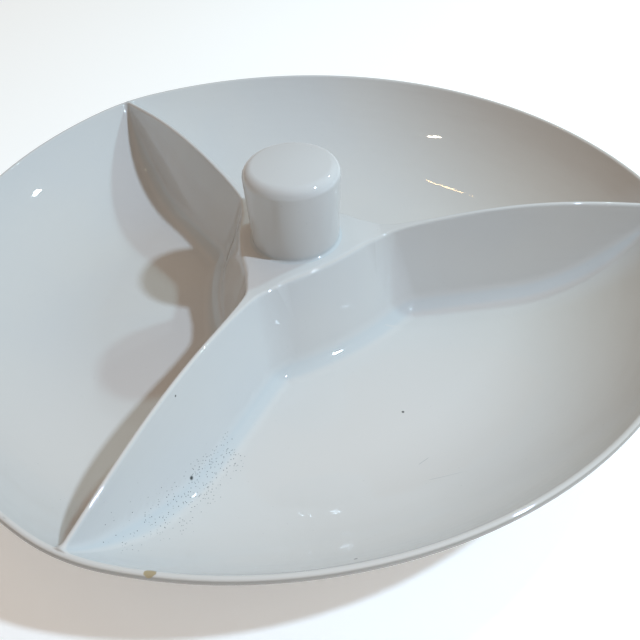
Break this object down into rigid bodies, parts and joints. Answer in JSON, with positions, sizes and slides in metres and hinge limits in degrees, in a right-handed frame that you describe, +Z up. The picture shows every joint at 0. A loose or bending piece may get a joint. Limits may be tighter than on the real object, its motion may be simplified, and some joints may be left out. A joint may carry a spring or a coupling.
{
  "type": "divided serving bowl",
  "caption": "White glazed porcelain serving bowl of rounded triangular plan, parted into compartments by arched walls that meet at a raised hub with a round lifting knob.",
  "frame": {"origin": "on the three-fold axis, in the plane of the foot ring's flat", "axes": "+Z up along the axis of the knob, +X along one divider"},
  "size_m": [0.302, 0.299, 0.0775],
  "materials": {
    "glaze": "clear gloss glaze over white porcelain",
    "bisque": "bare fired clay, wiped clean of glaze"
  },
  "bodies": {
    "root": {"dish_shell": "glaze", "divider_right": "glaze", "divider_back_left": "glaze", "divider_front_left": "glaze", "centre_hub": "glaze", "lifting_knob": "glaze", "foot_ring": "bisque"}
  },
  "joints": []
}
